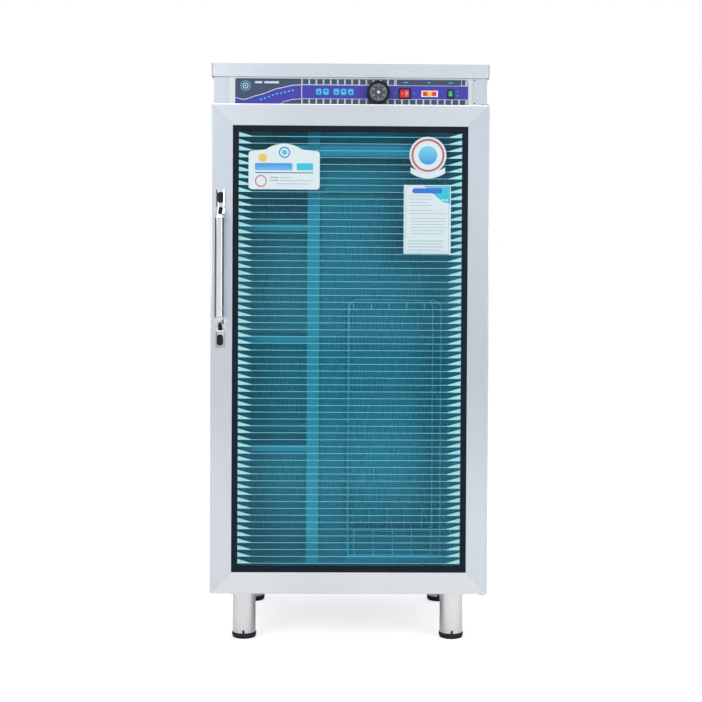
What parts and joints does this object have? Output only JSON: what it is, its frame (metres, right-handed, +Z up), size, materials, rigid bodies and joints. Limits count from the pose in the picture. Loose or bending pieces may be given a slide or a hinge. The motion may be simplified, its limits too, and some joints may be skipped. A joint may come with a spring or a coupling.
{
  "type": "knife sterilizer cabinet",
  "caption": "Free-standing steel cabinet on four legs with a full-height glass door, bow handle, control strip, ultraviolet tube, shelves and board racks.",
  "frame": {"origin": "on the floor, under the middle of the whole object's box", "axes": "+X to the right seen from the front, the front faces -Y, +Z up"},
  "size_m": [0.6, 0.542, 1.255],
  "materials": {
    "case_steel": "brushed, vertical grain",
    "door_steel": "brushed along each rail and stile",
    "fascia_print": "brushed with a printed band",
    "liner_steel": "bright annealed",
    "reflector": "polished",
    "wire": "polished",
    "rack_sheet": "satin",
    "leg_steel": "satin",
    "grip_chrome": "mirror",
    "zinc": "zinc plated",
    "brass": "plain",
    "tube_glass": "clear quartz, lit pale blue",
    "pane_glass": "clear float glass with printed border and lines",
    "black_plastic": "fine grain",
    "white_plastic": "plain",
    "knob_plastic": "polished",
    "red_plastic": "translucent look",
    "green_plastic": "translucent look",
    "lens_plastic": "clear tinted",
    "gasket_rubber": "extruded",
    "seal_rubber": "extruded",
    "foot_rubber": "moulded",
    "ballast_paint": "plain"
  },
  "bodies": {
    "cabinet": {"top_cap": "case_steel", "left_side_panel": "case_steel", "right_side_panel": "case_steel", "rear_panel": "case_steel", "base_pan": "case_steel", "control_fascia": "fascia_print", "chamber_left_wall": "liner_steel", "chamber_right_wall": "liner_steel", "chamber_rear_wall": "liner_steel", "chamber_ceiling": "liner_steel", "chamber_floor": "liner_steel", "divider_panel": "liner_steel", "upper_shelf": "liner_steel", "middle_shelf": "liner_steel", "lower_shelf": "liner_steel", "upper_shelf_rail_left": "liner_steel", "upper_shelf_rail_right": "liner_steel", "middle_shelf_rail_left": "liner_steel", "middle_shelf_rail_right": "liner_steel", "lower_shelf_rail_left": "liner_steel", "lower_shelf_rail_right": "liner_steel", "upper_board_rack": "wire", "lower_board_rack": "wire", "knife_rack": "rack_sheet", "uv_lamp_tube": "tube_glass", "left_lamp_holder": "white_plastic", "right_lamp_holder": "white_plastic", "terminal_block": "white_plastic", "lamp_reflector": "reflector", "lamp_ballast": "ballast_paint", "timer_body": "black_plastic", "power_switch_body": "black_plastic", "lamp_switch_body": "black_plastic", "pilot_lamp_body": "black_plastic", "door_switch_body": "black_plastic", "power_inlet": "black_plastic", "pilot_lamp_lens": "lens_plastic", "hinge_brackets": "zinc", "legs": "leg_steel"},
    "door": {"door_top_rail": "door_steel", "door_bottom_rail": "door_steel", "door_left_stile": "door_steel", "door_right_stile": "door_steel", "glass_pane": "pane_glass", "glazing_gasket": "gasket_rubber", "glass_retainer": "zinc", "door_seal": "seal_rubber", "handle_grip": "grip_chrome", "handle_end_cap_upper": "black_plastic", "handle_end_cap_lower": "black_plastic", "hinge_bushes": "brass"},
    "timer": {"timer_knob": "knob_plastic", "timer_shaft": "zinc"},
    "power_rocker": {"power_rocker": "red_plastic"},
    "lamp_rocker": {"lamp_rocker": "green_plastic"},
    "door_switch_plunger": {"door_switch_plunger": "black_plastic"},
    "foot_front_left": {"foot_front_left": "foot_rubber"},
    "foot_front_right": {"foot_front_right": "foot_rubber"},
    "foot_rear_left": {"foot_rear_left": "foot_rubber"},
    "foot_rear_right": {"foot_rear_right": "foot_rubber"}
  },
  "joints": [
    {"name": "door_hinge", "type": "hinge", "parent": "cabinet", "child": "door", "pos_m": [0.288, -0.216, 0.638], "axis": [0, 0, 1], "range_deg": [0, 115]},
    {"name": "timer_turn", "type": "hinge", "parent": "cabinet", "child": "timer", "pos_m": [0.0594, -0.192, 1.191], "axis": [0, 1, 0], "range_deg": [0, 300]},
    {"name": "power_rocker_tilt", "type": "hinge", "parent": "cabinet", "child": "power_rocker", "pos_m": [0.117, -0.19, 1.191], "axis": [0, 0, 1], "range_deg": [0, 16]},
    {"name": "lamp_rocker_tilt", "type": "hinge", "parent": "cabinet", "child": "lamp_rocker", "pos_m": [0.216, -0.19, 1.191], "axis": [1, 0, 0], "range_deg": [0, 16]},
    {"name": "door_switch_press", "type": "slide", "parent": "cabinet", "child": "door_switch_plunger", "axis": [0, 1, 0], "range_m": [0, 0.003], "stiffness_N_per_m": 300, "springref_m": -0.003},
    {"name": "foot_front_left_level", "type": "slide", "parent": "cabinet", "child": "foot_front_left", "axis": [0, 0, -1], "range_m": [0, 0.015]},
    {"name": "foot_front_right_level", "type": "slide", "parent": "cabinet", "child": "foot_front_right", "axis": [0, 0, -1], "range_m": [0, 0.015]},
    {"name": "foot_rear_left_level", "type": "slide", "parent": "cabinet", "child": "foot_rear_left", "axis": [0, 0, -1], "range_m": [0, 0.015]},
    {"name": "foot_rear_right_level", "type": "slide", "parent": "cabinet", "child": "foot_rear_right", "axis": [0, 0, -1], "range_m": [0, 0.015]}
  ]
}
